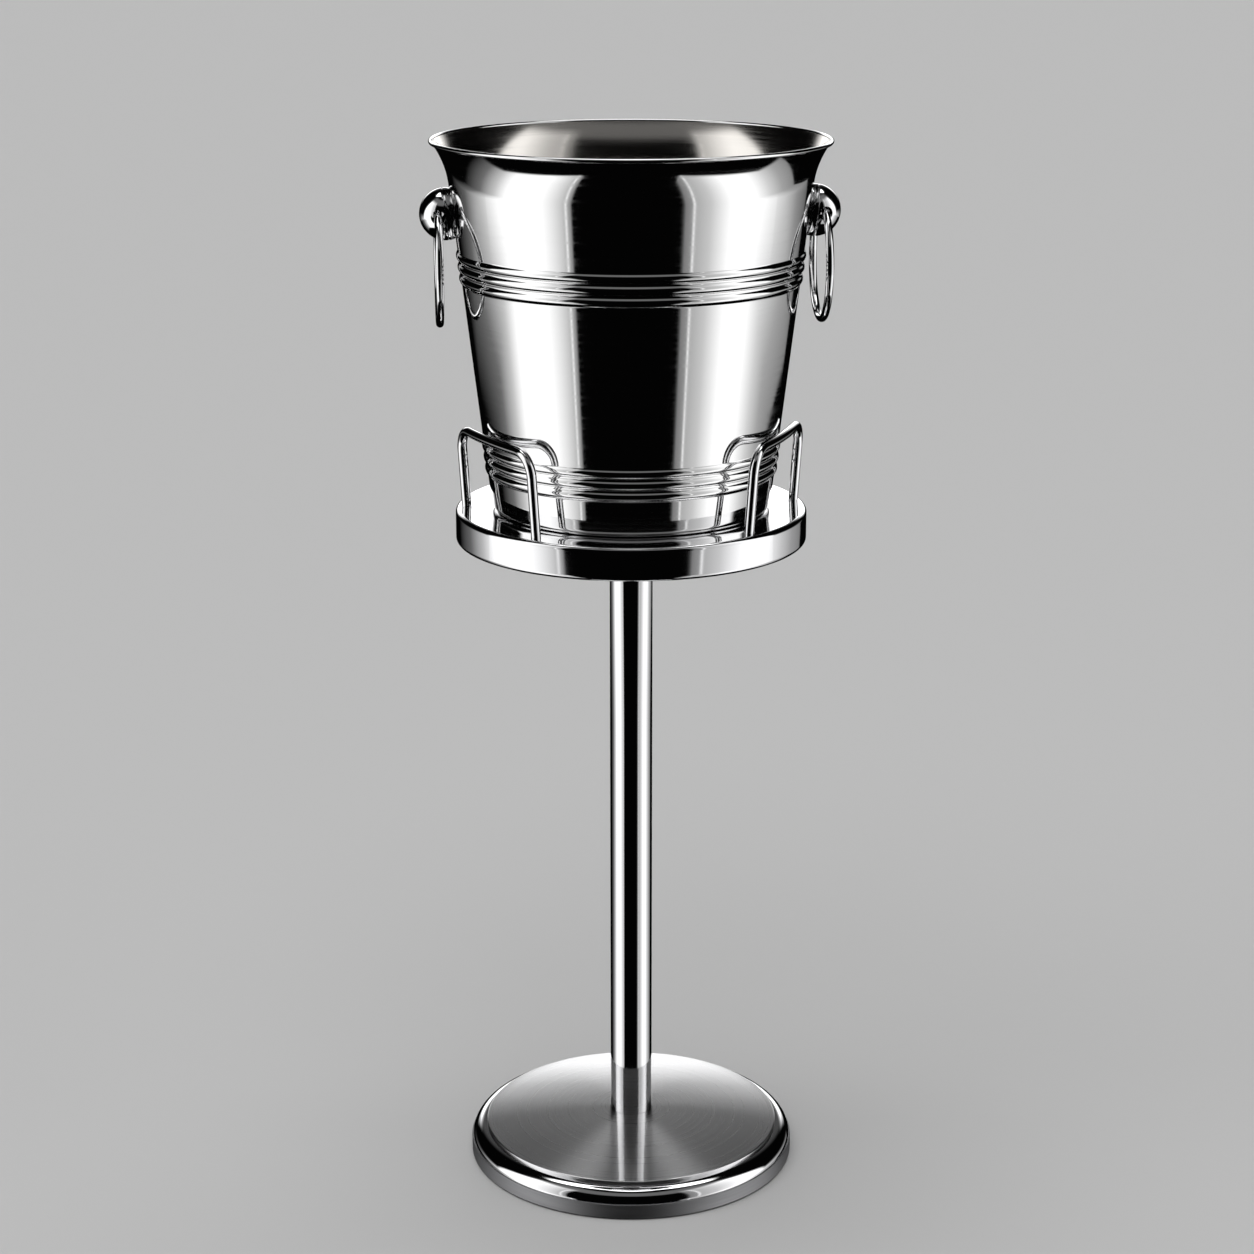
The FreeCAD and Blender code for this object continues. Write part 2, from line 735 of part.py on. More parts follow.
def foot_corner(s, radius, inset):
    """Ends of the rounded corner between the bottom and the wall, at an inset from the outside."""
    taper = s["wall_taper"]
    reach = radius * tangent((Size(90.0, "90") - taper) / 2)
    corner = wall_radius(s, inset) - inset / cosine(taper)
    low = (corner - reach, inset)
    high = (corner + reach * sine(taper), reach * cosine(taper) + inset)
    return low, high


def bucket_shell(doc, s):
    """Drawn bucket: kicked-up bottom, round foot corner, ribbed tapered wall, flared lip, bead."""
    body = new_body(doc, "bucket_shell")
    sheet = s["bucket_sheet"]
    kick = s["kick_height"]
    kick_edge = foot_radius(s) - s["kick_inset"]
    zero = Size(0.0, "0")
    low, high = foot_corner(s, s["foot_corner_radius"], zero)
    inner_low, inner_high = foot_corner(s, s["foot_corner_radius"] - sheet, sheet)
    outline = Outline(0, kick).line(kick_edge - s["kick_slope"], kick).line(kick_edge, 0)
    outline.line(low[0], 0)
    outline.arc(high[0], high[1], s["foot_corner_radius"], True)
    bucket_outside(outline, s)
    bucket_inside(outline, s)
    outline.line(*inner_high)
    outline.arc(inner_low[0], inner_low[1], s["foot_corner_radius"] - sheet, False)
    outline.line(kick_edge + sheet, sheet)
    outline.line(kick_edge - s["kick_slope"] + sheet, kick + sheet)
    outline.line(0, kick + sheet)
    revolve(body, outline.close())
    add_rim_bead(body, s)
    drill_screw_holes(body, s)
    return lift(body, s["tray_height"])


def add_rim_bead(body, s):
    sketch = new_sketch(body, "XZ_Plane")
    _, end, _, _ = lip_points(s)
    draw_circle(sketch, end[0], end[1], s["rim_bead_dia"] / 2)
    bead = body.newObject("PartDesign::Revolution", "RimBead")
    bead.Profile = sketch
    bead.ReferenceAxis = (sketch, ["V_Axis"])
    bead.Angle = 360
    sketch.Visibility = False


def knob_height(s):
    """Where a knob's axis meets the wall, above the bucket's bottom."""
    return s["bucket_height"] - s["knob_drop"]


def drill_screw_holes(body, s):
    """One hole across the whole bucket for each knob, square to the wall."""
    bore = s["knob_screw_dia"] / 2 + s["fit_gap"]
    for _, turn in SIDES:
        sketch = new_sketch(body, "YZ_Plane")
        draw_circle(sketch, 0, 0, bore)
        sketch.AttachmentOffset = Placement()
        x = wall_radius(s, knob_height(s))
        side = 1 if turn == 0 else -1
        rotation = Rotation(Vector(0, 1, 0), side * number(s["wall_taper"]))
        offset = Placement(Vector(side * number(x), 0, number(knob_height(s))), rotation)
        plane = Placement(Vector(0, 0, 0), Rotation(Vector(1, 1, 1), 120))
        sketch.AttachmentOffset = plane.inverse().multiply(offset).multiply(plane)
        hole = body.newObject("PartDesign::Pocket", "ScrewHole")
        hole.Profile = sketch
        hole.Type = "Length"
        hole.setExpression("Length", (s["bucket_sheet"] * 8).text)
        hole.Midplane = True
        sketch.Visibility = False


# The knobs. Each is made about its own axis: X square to the wall and outward, from the wall's
# outer face at the knob's height. The left one is the right one turned half round.


def knob_place(s, turn):
    """Where the knob's own axes lie on the bucket."""
    x = number(wall_radius(s, knob_height(s)))
    z = number(s["tray_height"]) + number(knob_height(s))
    tilt = Rotation(Vector(0, 1, 0), number(s["wall_taper"]))
    around = Rotation(Vector(0, 0, 1), turn)
    return Placement(around.multVec(Vector(x, 0, z)), around.multiply(tilt))


def wall_cone(doc, s, name, inset):
    """The bucket's straight wall as a solid cone, on a knob's axes, at an inset from outside."""
    taper = number(s["wall_taper"])
    reach = number(s["knob_dia"])
    cone = doc.addObject("Part::Cone", name)
    height = knob_height(s)
    slant = inset / cosine(s["wall_taper"])
    cone.setExpression("Radius1", (wall_radius(s, height - reach) - slant).text)
    cone.setExpression("Radius2", (wall_radius(s, height + reach) - slant).text)
    cone.Height = 2 * reach
    tilt = Rotation(Vector(0, 1, 0), taper)
    axis_point = Vector(-number(wall_radius(s, height)), 0, -reach)
    back = tilt.inverted()
    cone.Placement = Placement(back.multVec(axis_point), back)
    return cone


def knob_base(doc, s, side, turn):
    """The collar between the wall and the dome, with a saddle that fits the wall."""
    body = new_body(doc, "knob_collar_" + side)
    outer = s["knob_dia"] / 2
    seam = s["collar_depth"]
    inner = outer - s["knob_wall"] - s["fit_gap"]
    well = inner - s["spigot_wall"]
    thread = s["knob_screw_dia"] / 2
    depth = s["knob_wall"] * 3
    groove = s["knob_seam"]
    bulge = s["collar_bulge"]
    length = seam - groove + depth
    low = outer - bulge + root(bulge * bulge - length * length)
    outline = Outline(-depth, thread).line(s["collar_floor"], thread).line(s["collar_floor"], well)
    outline.line(seam + s["spigot_height"], well).line(seam + s["spigot_height"], inner)
    outline.line(seam, inner).line(seam, outer - groove).line(seam - groove, outer)
    outline.arc(-depth, low, bulge, True)
    revolve(body, outline.close(), "H_Axis")
    cone = wall_cone(doc, s, "Saddle_" + side, Size(0.0, "0"))
    base = doc.addObject("Part::Cut", "KnobBase_" + side)
    base.Base = body
    base.Tool = cone
    base.Label = "knob_base_" + side
    base.Placement = knob_place(s, turn)
    return base


def knob_dome(doc, s, side, turn):
    """A hollow half ball with an eye through it from front to back for the ring."""
    body = new_body(doc, "knob_dome_" + side)
    outer = s["knob_dia"] / 2
    inner = outer - s["knob_wall"]
    seam = s["collar_depth"]
    groove = s["knob_seam"]
    rise = root(outer * outer - (outer - groove) * (outer - groove))
    outline = Outline(seam, inner).arc(seam + inner, 0, inner, False)
    outline.line(seam + outer, 0)
    outline.arc(seam + rise, outer - groove, outer, True)
    outline.line(seam, outer - groove * 2)
    revolve(body, outline.close(), "H_Axis")
    sketch = new_sketch(body, "XZ_Plane")
    draw_circle(sketch, seam + s["eye_offset"], 0, s["eye_dia"] / 2)
    eye = body.newObject("PartDesign::Pocket", "Eye")
    eye.Profile = sketch
    eye.Type = "Length"
    eye.setExpression("Length", (s["knob_dia"] * 1.2).text)
    eye.Midplane = True
    sketch.Visibility = False
    body.Placement = knob_place(s, turn)
    return body


def knob_screw(doc, s, side, turn):
    """A pan-head screw from inside the bucket into the knob's base."""
    body = new_body(doc, "knob_screw_" + side)
    head_face = -(s["bucket_sheet"] + s["knob_washer_thickness"])
    head_top = head_face - s["knob_screw_head_height"]
    head = s["knob_screw_head_dia"] / 2
    ease = s["knob_screw_head_height"] * 0.6
    shank = s["knob_screw_dia"] / 2
    outline = Outline(head_top, 0).line(s["knob_screw_reach"], 0).line(s["knob_screw_reach"], shank)
    outline.line(head_face, shank).line(head_face, head).line(head_top + ease, head)
    outline.arc(head_top, head - ease, ease, True)
    revolve(body, outline.close(), "H_Axis")
    body.Placement = knob_place(s, turn)
    return body


def knob_washer(doc, s, side, turn):
    """A washer whose outer face fits the inside of the wall."""
    ring = new_body(doc, "washer_ring_" + side)
    face = -(s["bucket_sheet"] + s["knob_washer_thickness"])
    bore = s["knob_screw_dia"] / 2 + s["fit_gap"]
    rim = s["knob_washer_dia"] / 2
    outline = Outline(face, bore).line(0, bore).line(0, rim).line(face, rim)
    revolve(ring, outline.close(), "H_Axis")
    cone = wall_cone(doc, s, "WasherCone_" + side, s["bucket_sheet"])
    washer = doc.addObject("Part::Common", "KnobWasher_" + side)
    washer.Base = ring
    washer.Tool = cone
    washer.Label = "knob_washer_" + side
    washer.Placement = knob_place(s, turn)
    return washer


def handle_ring(doc, s, side, turn):
    """A closed wire ring that hangs straight down through the knob's eye."""
    eye_out = s["collar_depth"] + s["eye_offset"]
    eye = knob_place(s, turn).multVec(Vector(number(eye_out), 0, 0))
    half_eye = number(s["knob_dia"] * s["knob_dia"] / 4 - s["eye_offset"] * s["eye_offset"])
    radius = number(s["ring_radius"])
    drop = math.sqrt(radius * radius - half_eye) + number(s["ring_sag"])
    ring = doc.addObject("Part::Torus", "HandleRing_" + side)
    ring.setExpression("Radius1", s["ring_radius"].text)
    ring.setExpression("Radius2", (s["ring_wire_dia"] / 2).text)
    ring.Label = "handle_ring_" + side
    ring.Placement = Placement(eye - Vector(0, 0, drop), Rotation(Vector(0, 1, 0), 90))
    print("ring %s: eye axis at x %.4f, z %.4f" % (side, eye.x, eye.z))
    return ring


def build(doc, s):
    upper_plug_bottom = post_top(s) - s["plug_length"]
    parts = [
        base_cover(doc, s), base_weight(doc, s), bottom_plate(doc, s), foot_ring(doc, s),
        base_washer(doc, s), base_bolt(doc, s), post_tube(doc, s),
        post_plug(doc, s, "post_plug_lower", base_levels(s)[4]),
        post_plug(doc, s, "post_plug_upper", upper_plug_bottom),
        tray(doc, s), tray_hub(doc, s), tray_screw(doc, s),
        retainer_washers(doc, s), retainer_nuts(doc, s), bucket_shell(doc, s),
    ]
    for side, middle in retainer_angles(s):
        parts.append(retainer(doc, s, side, middle))
    for side, turn in SIDES:
        for make in (knob_base, knob_dome, knob_screw, knob_washer, handle_ring):
            parts.append(make(doc, s, side, turn))
    return parts


def check(doc, parts):
    """Stops before anything is written if an object failed or a shape is not sound."""
    for item in doc.Objects:
        if "Invalid" in item.State or "Error" in item.State:
            raise RuntimeError("%s failed: %s" % (item.Label, item.State))
    for item in parts:
        if item.Shape.isNull() or not item.Shape.isValid() or not item.Shape.Solids:
            raise RuntimeError("%s has no sound shape" % item.Label)


def main():
    doc = FreeCAD.newDocument("ChampagneBucketStand")
    sizes = fill_sheet(doc)
    parts = build(doc, sizes)
    doc.recompute()
    check(doc, parts)
    os.makedirs("parts", exist_ok=True)
    for item in parts:
        item.Shape.exportStep("parts/%s.step" % item.Label)
        box = item.Shape.optimalBoundingBox(False)
        print("%-20s %d solid(s) %10.1f mm3  x %.1f %.1f  y %.1f %.1f  z %.1f %.1f" % (
            item.Label, len(item.Shape.Solids), item.Shape.Volume,
            box.XMin, box.XMax, box.YMin, box.YMax, box.ZMin, box.ZMax))


main()
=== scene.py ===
# %% [markdown]
# A champagne bucket stand in polished stainless steel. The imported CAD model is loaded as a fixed
# frame, in metres with +Z up, and this lesson gives it its light, its finishes and its fine detail.

# %% Load the frame
import math

import bmesh
import bpy
from mathutils import Matrix, Vector


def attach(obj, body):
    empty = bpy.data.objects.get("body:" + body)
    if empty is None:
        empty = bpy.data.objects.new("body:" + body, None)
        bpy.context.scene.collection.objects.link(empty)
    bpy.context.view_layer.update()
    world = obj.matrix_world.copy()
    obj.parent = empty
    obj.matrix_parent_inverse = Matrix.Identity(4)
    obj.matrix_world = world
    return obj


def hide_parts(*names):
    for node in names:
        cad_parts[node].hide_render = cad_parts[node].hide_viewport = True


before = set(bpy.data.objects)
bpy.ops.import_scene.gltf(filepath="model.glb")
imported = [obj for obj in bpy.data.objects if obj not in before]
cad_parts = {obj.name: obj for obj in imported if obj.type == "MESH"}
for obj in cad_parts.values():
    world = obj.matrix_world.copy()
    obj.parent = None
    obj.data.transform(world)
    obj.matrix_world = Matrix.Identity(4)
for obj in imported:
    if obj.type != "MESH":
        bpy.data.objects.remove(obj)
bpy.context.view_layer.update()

# %% [markdown]
# The camera is the learner's eye, so it comes first. It stands a little to the left of the front,
# above the rim, and looks down on the object with a long lens, which keeps the post's sides
# parallel. A small sideways shift frames the post a little right of the middle.

# %% Camera
CAMERA_TURN = math.radians(-5.0)
CAMERA_PITCH = math.radians(16.05)
CAMERA_DISTANCE = 1.524
CAMERA_HEIGHT = 0.776

camera_data = bpy.data.cameras.new("camera")
camera_data.sensor_width = 36.0
camera_data.lens = 76.65
camera_data.shift_x = -0.0033
camera = bpy.data.objects.new("camera", camera_data)
camera.location = (CAMERA_DISTANCE * math.sin(CAMERA_TURN),
                   -CAMERA_DISTANCE * math.cos(CAMERA_TURN), CAMERA_HEIGHT)
camera.rotation_euler = (math.pi / 2 - CAMERA_PITCH, 0.0, CAMERA_TURN)
bpy.context.scene.collection.objects.link(camera)
bpy.context.scene.camera = camera
bpy.context.scene.view_settings.view_transform = "Standard"
print("camera %.3f m from the axis, %.3f m up" % (CAMERA_DISTANCE, CAMERA_HEIGHT))

# %% [markdown]
# Node trees are long to write out by hand. A small class that adds a node, sets its
# values and links its inputs in one call keeps every finish below readable.

# %% A helper for node trees


class Tree:
    """Adds nodes to a node tree; an input may be a number, a tuple or another node's socket."""

    def __init__(self, tree):
        self.tree = tree

    def add(self, kind, out=0, props=(), **inputs):
        node = self.tree.nodes.new(kind)
        for name, value in props:
            setattr(node, name, value)
        for name, value in inputs.items():
            key = int(name[1:]) if name[0] == "i" and name[1:].isdigit() else name.replace("_", " ")
            socket = node.inputs[key]
            if isinstance(value, bpy.types.NodeSocket):
                self.tree.links.new(value, socket)
            else:
                socket.default_value = value
        return node.outputs[out] if out is not None else node

    def math(self, operation, a, b=0.0):
        return self.add("ShaderNodeMath", 0, (("operation", operation),), i0=a, i1=b)

    def ease(self, value, low, high, to_low=0.0, to_high=1.0):
        """A soft step from to_low to to_high as value goes from low to high."""
        return self.add("ShaderNodeMapRange", 0, (("interpolation_type", "SMOOTHSTEP"),),
                        Value=value, From_Min=low, From_Max=high, To_Min=to_low, To_Max=to_high)

    def linear(self, value, low, high, to_low, to_high):
        """A straight change from to_low to to_high, held beyond both ends."""
        return self.add("ShaderNodeMapRange", 0, (("clamp", True),), Value=value, From_Min=low,
                        From_Max=high, To_Min=to_low, To_Max=to_high)

    def ramp(self, value, stops):
        """A grey level for each value, from (place, level) stops."""
        node = self.add("ShaderNodeValToRGB", None, (), Fac=value)
        ramp = node.color_ramp
        while len(ramp.elements) < len(stops):
            ramp.elements.new(0.5)
        for element, (place, level) in zip(ramp.elements, stops):
            element.position = place
            element.color = (level, level, level, 1.0)
        return node.outputs[0]


# %% [markdown]
# Polished steel has no colour of its own: it shows the room. A studio lights it with two tall soft
# boxes, one at each side, and leaves a dark gap in front, where the camera stands, and dark gaps
# further round, which draw the black outline. The room could be built from lamps and cards, but
# then each would have to be hidden from the camera. A world shader is simpler: it gives brightness
# by compass direction, cut off by height, and there is nothing to hide.

# %% The two soft boxes
world = bpy.data.worlds.new("studio")
bpy.context.scene.world = world
world.use_nodes = True
world.node_tree.nodes.clear()
w = Tree(world.node_tree)
look = w.add("ShaderNodeTexCoord", "Generated")
turned = w.add("ShaderNodeVectorRotate", 0, (("rotation_type", "Z_AXIS"),), Vector=look,
               Angle=-CAMERA_TURN)
axes = w.add("ShaderNodeSeparateXYZ", None, Vector=turned)
compass = w.math("DEGREES", w.math("ARCTAN2", axes.outputs[0],
                                   w.math("MULTIPLY", axes.outputs[1], -1.0)))
height = w.math("DEGREES", w.math("ARCSINE", axes.outputs[2]))
sideways = w.math("ABSOLUTE", compass)

# Degrees to the right of the camera, and the brightness there.
ROUND_THE_ROOM = (
    (-130, 0.0), (-124, 0.05), (-112, 0.16), (-98, 0.6), (-88, 1.15), (-62, 1.25), (-52, 0.9),
    (-45, 0.62), (-43.6, 0.5), (-43, 0.95), (-42, 0.95), (-41.2, 0.4), (-38.8, 0.28), (-38, 0.0),
    (33.6, 0.0), (34.2, 0.2), (39.6, 0.3), (40.4, 0.95), (41.4, 0.95), (42.2, 0.45),
    (52, 0.62), (68, 1.2), (86, 1.2), (100, 0.7), (112, 0.4), (125, 0.26), (126.4, 0.0))
widened = w.math("MULTIPLY", compass, w.linear(height, -18, -14, 1.0, 0.86))
place = w.math("ADD", w.math("DIVIDE", widened, 360.0), 0.5)
side_boxes = w.ramp(place, [((turn + 180.0) / 360.0, level) for turn, level in ROUND_THE_ROOM])
print("two soft boxes from %d stops" % len(ROUND_THE_ROOM))

# %% [markdown]
# The boxes stand on the studio's floor, so seen from the steel their lower ends lie at a steep
# angle near the middle and a flatter one to the sides, with a rounded corner. Their tops come down
# further round. All heights are in degrees above the horizon.

# %% Heights of the two boxes
low_end = w.linear(sideways, 36, 100, -58, -42)
corner = w.math("MULTIPLY", w.math("POWER", w.linear(sideways, 34, 42, 1, 0), 2.0), 9.0)
low_end = w.math("ADD", low_end, corner)
from_low_end = w.math("SUBTRACT", height, low_end)
low_edge = w.ease(from_low_end, 0.0, 2.5)
box_top = w.linear(sideways, 84, 106, 46, -10)
high_edge = w.ease(w.math("SUBTRACT", height, box_top), -8, 8, 1.0, 0.0)
boxes = w.math("MULTIPLY", side_boxes, w.math("MULTIPLY", low_edge, high_edge))
print("boxes cut to their heights")

# %% [markdown]
# Behind the object the backdrop glows a little above its foot, one soft lamp hangs overhead, and a
# dim patch hangs in front. The camera itself sees only an even, pale backdrop.

# %% Glow, lamp and the finished world
GLOW_LOW, GLOW_HIGH = -20, 60
GLOW_STRENGTH = 2.0
LAMP_STRENGTH = 2.2
FRONT_STRENGTH = 0.14
DARK_ROOM = 0.001
BACKDROP = 0.8

behind = w.ease(sideways, 148, 166)
glow_by_height = w.ramp(w.linear(height, GLOW_LOW, GLOW_HIGH, 0, 1), [
    (0.27, 0.0), (0.33, 0.9), (0.44, 1.0), (0.5, 0.25), (0.54, 0.04), (0.8, 0.0)])
glow = w.math("MULTIPLY", w.math("MULTIPLY", behind, glow_by_height), GLOW_STRENGTH)
lamp_low = w.linear(sideways, 80, 105, 78, 58)
lamp = w.ease(w.math("SUBTRACT", height, lamp_low), 0.0, 6.0, 0.0, LAMP_STRENGTH)
front = w.ease(sideways, 70, 100, 1.0, 0.0)
dim_by_height = w.math("MULTIPLY", w.ease(height, 36, 44, 0.0, FRONT_STRENGTH),
                       w.ease(height, 60, 70, 1.0, 0.0))
dim_front = w.math("MULTIPLY", front, dim_by_height)
room = w.math("ADD", w.math("ADD", boxes, glow), w.math("ADD", lamp, dim_front))
room = w.math("ADD", room, DARK_ROOM)
is_camera = w.add("ShaderNodeLightPath", "Is Camera Ray")
level = w.add("ShaderNodeMix", 0, (("data_type", "FLOAT"),), Factor=is_camera, A=room,
              B=BACKDROP)
shine = w.add("ShaderNodeBackground", 0, (), Color=(1, 1, 1, 1), Strength=level)
w.add("ShaderNodeOutputWorld", None, (), Surface=shine)
print("world: side boxes, back glow, top lamp and dim front")

# %% [markdown]
# The floor is plain and pale. Steel on a pale floor would go grey all over, so the floor is kept
# out of mirror reflections, and a broad sun, also kept out of them, lights it softly from above.

# %% Floor and soft light
FLOOR_REACH = 40.0
floor_mesh = bpy.data.meshes.new("floor")
floor_mesh.from_pydata([(-FLOOR_REACH, -FLOOR_REACH, 0), (FLOOR_REACH, -FLOOR_REACH, 0),
                        (FLOOR_REACH, FLOOR_REACH, 0), (-FLOOR_REACH, FLOOR_REACH, 0)], [],
                       [(0, 1, 2, 3)])
floor = bpy.data.objects.new("floor", floor_mesh)
bpy.context.scene.collection.objects.link(floor)
floor.visible_glossy = False
paint = bpy.data.materials.new("pale_floor")
paint.use_nodes = True
paint.node_tree.nodes.clear()
t = Tree(paint.node_tree)
matt = t.add("ShaderNodeBsdfDiffuse", 0, (), Color=(0.62, 0.62, 0.62, 1.0))
t.add("ShaderNodeOutputMaterial", None, (), Surface=matt)
floor_mesh.materials.append(paint)

sun_data = bpy.data.lights.new("broad_sun", "SUN")
sun_data.energy = 1.2
sun_data.angle = math.radians(60)
sun = bpy.data.objects.new("broad_sun", sun_data)
sun.rotation_euler = (math.radians(18), math.radians(-12), 0.0)
sun.visible_glossy = False
bpy.context.scene.collection.objects.link(sun)
print("pale floor and one broad sun")

# %% [markdown]
# One recipe serves most of the bare steel: a metal whose roughness and tiny ridges come from noise
# that is stretched along the brushing. Where the sheet was finished with long strokes, the shine
# also spreads across them: that is anisotropy, and its tangent says which way the shine runs.

# %% The steel recipe


def steel(name, colour, roughness, spread, strokes, ridges=0.02, shine_up=0.0):
    """A bare metal. strokes is how many grains a metre holds along X, Y and Z, and shine_up is how
    far the shine spreads upward."""
    material = bpy.data.materials.new(name)
    material.use_nodes = True
    material.node_tree.nodes.clear()
    m = Tree(material.node_tree)
    place = m.add("ShaderNodeTexCoord", "Object")
    stretched = m.add("ShaderNodeMapping", 0, (), Vector=place, Scale=strokes)
    grain = m.add("ShaderNodeTexNoise", 0, (), Vector=stretched, Scale=1.0, Detail=4.0)
    rough = m.linear(grain, 0.3, 0.7, roughness - spread, roughness + spread)
    bump = m.add("ShaderNodeBump", 0, (), Strength=ridges, Distance=0.0001, Height=grain)
    inputs = dict(Base_Color=colour, Metallic=1.0, Roughness=rough, Normal=bump)
    if shine_up:
        inputs.update(Anisotropic=shine_up, Tangent=m.add(
            "ShaderNodeCombineXYZ", 0, (), X=0.0, Y=0.0, Z=1.0))
    metal = m.add("ShaderNodeBsdfPrincipled", 0, (), **inputs)
    m.add("ShaderNodeOutputMaterial", None, (), Surface=metal)
    return material


polished = steel("polished_steel", (0.9, 0.9, 0.91, 1), 0.05, 0.015, (60, 60, 60))
bucket_outside = steel("bucket_steel", (0.9, 0.9, 0.9, 1), 0.065, 0.04, (9, 9, 650), 0.04)
bucket_inside = steel("bucket_inside_steel", (0.8, 0.77, 0.73, 1), 0.16, 0.04, (10, 10, 900),
                      0.1, shine_up=0.5)
satin = steel("base_skirt_steel", (0.36, 0.36, 0.37, 1), 0.5, 0.06, (20, 20, 900), 0.1)
turned_steel = steel("hub_steel", (0.5, 0.5, 0.5, 1), 0.3, 0.05, (30, 30, 900), 0.1)
plated = steel("plated_steel", (0.62, 0.63, 0.66, 1), 0.28, 0.06, (300, 300, 300), 0.1)
print("steel finishes made")

# %% [markdown]
# The disc on the base is buffed in circles, then polished. It is both at once: a clear mirror of
# the post, and a soft shine that fans out from the centre. So two metals are mixed, about three
# parts brushed to two parts mirror, with fine rings in both from noise on the distance to the
# centre.

# %% The circular brushing of the base
RINGS_PER_METRE = 1400.0
RING_RIDGES = 0.012
DISC_STEEL = (0.88, 0.88, 0.89, 1)
MIRROR_SHARE = 0.38

base_disc = bpy.data.materials.new("base_steel")
base_disc.use_nodes = True
base_disc.node_tree.nodes.clear()
m = Tree(base_disc.node_tree)
place = m.add("ShaderNodeTexCoord", "Object")
flat = m.add("ShaderNodeVectorMath", 0, (("operation", "MULTIPLY"),), i0=place,
             i1=(1.0, 1.0, 0.0))
outward = m.add("ShaderNodeVectorMath", 0, (("operation", "NORMALIZE"),), i0=flat)
from_axis = m.add("ShaderNodeVectorMath", 1, (("operation", "LENGTH"),), i0=flat)
rings = m.add("ShaderNodeTexNoise", 0, (("noise_dimensions", "1D"),), W=from_axis,
              Scale=RINGS_PER_METRE, Detail=4.0)
rough = m.linear(rings, 0.3, 0.7, 0.27, 0.31)
ridges = m.add("ShaderNodeBump", 0, (), Strength=RING_RIDGES, Distance=0.0001,
               Height=rings)
brushed = m.add("ShaderNodeBsdfPrincipled", 0, (), Base_Color=DISC_STEEL, Metallic=1.0,
                Roughness=rough, Anisotropic=0.97, Tangent=outward, Normal=ridges)
mirror = m.add("ShaderNodeBsdfPrincipled", 0, (), Base_Color=DISC_STEEL, Metallic=1.0,
               Roughness=m.linear(rings, 0.3, 0.7, 0.03, 0.07), Normal=ridges)
both = m.add("ShaderNodeMixShader", 0, (), i0=MIRROR_SHARE, i1=brushed, i2=mirror)
m.add("ShaderNodeOutputMaterial", None, (), Surface=both)
print("circular brushing made")

# %% [markdown]
# The hidden parts are plainer: a rough iron casting for weight, a black painted plate, a rubber
# ring on the floor. Each still has its own grain, from noise in its colour, roughness and bump.

# %% Iron, paint and rubber


def plain(name, dark, light, roughness, grain_scale, depth, metal=0.0):
    """A dull surface, mottled between two greys."""
    material = bpy.data.materials.new(name)
    material.use_nodes = True
    material.node_tree.nodes.clear()
    m = Tree(material.node_tree)
    place = m.add("ShaderNodeTexCoord", "Object")
    grain = m.add("ShaderNodeTexNoise", 0, (), Vector=place, Scale=grain_scale, Detail=6.0)
    colour = m.ramp(grain, [(0.3, dark), (0.7, light)])
    bump = m.add("ShaderNodeBump", 0, (), Strength=0.4, Distance=depth, Height=grain)
    coat = m.add("ShaderNodeBsdfPrincipled", 0, (), Base_Color=colour, Metallic=metal,
                 Roughness=m.linear(grain, 0.3, 0.7, roughness, roughness + 0.1), Normal=bump)
    m.add("ShaderNodeOutputMaterial", None, (), Surface=coat)
    return material


finishes = {
    "polished_steel": polished, "bucket_steel": bucket_outside, "base_steel": base_disc,
    "hub_steel": turned_steel, "plated_steel": plated,
    "cast_iron": plain("cast_iron", 0.05, 0.11, 0.6, 400.0, 0.0004, 0.4),
    "black_plate": plain("black_plate", 0.012, 0.02, 0.4, 900.0, 0.00005),
    "rubber": plain("rubber", 0.01, 0.016, 0.7, 700.0, 0.00005)}
for node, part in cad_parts.items():
    for index, held in enumerate(part.data.materials):
        part.material_slots[index].material = finishes[held.name.split(".")[0]]
print("finishes on %d nodes" % len(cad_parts))

# %% [markdown]
# The bucket, the tray and the base's cover are spun or pressed, so each is one outline turned
# about the axis. A mirror finish shows every facet of a coarse mesh, so they are made again here,
# with many small steps. The Screw modifier would turn an outline too, but a node tree can also
# give the inside its own finish. It lays out a grid, one row for each point of the outline and one
# column for each step of the turn, and moves every point of the grid to its place.

# %% A lathe of nodes
MM = 0.001


def new_tree(name, numbers):
    """A node tree with a geometry input, the named inputs and a geometry output."""
    tree = bpy.data.node_groups.new(name, "GeometryNodeTree")
    tree.interface.new_socket("Geometry", in_out="INPUT", socket_type="NodeSocketGeometry")
    tree.interface.new_socket("Geometry", in_out="OUTPUT", socket_type="NodeSocketGeometry")
    for label, kind in numbers:
        tree.interface.new_socket(label, in_out="INPUT", socket_type=kind)
    return tree, Tree(tree), tree.nodes.new("NodeGroupInput"), tree.nodes.new("NodeGroupOutput")


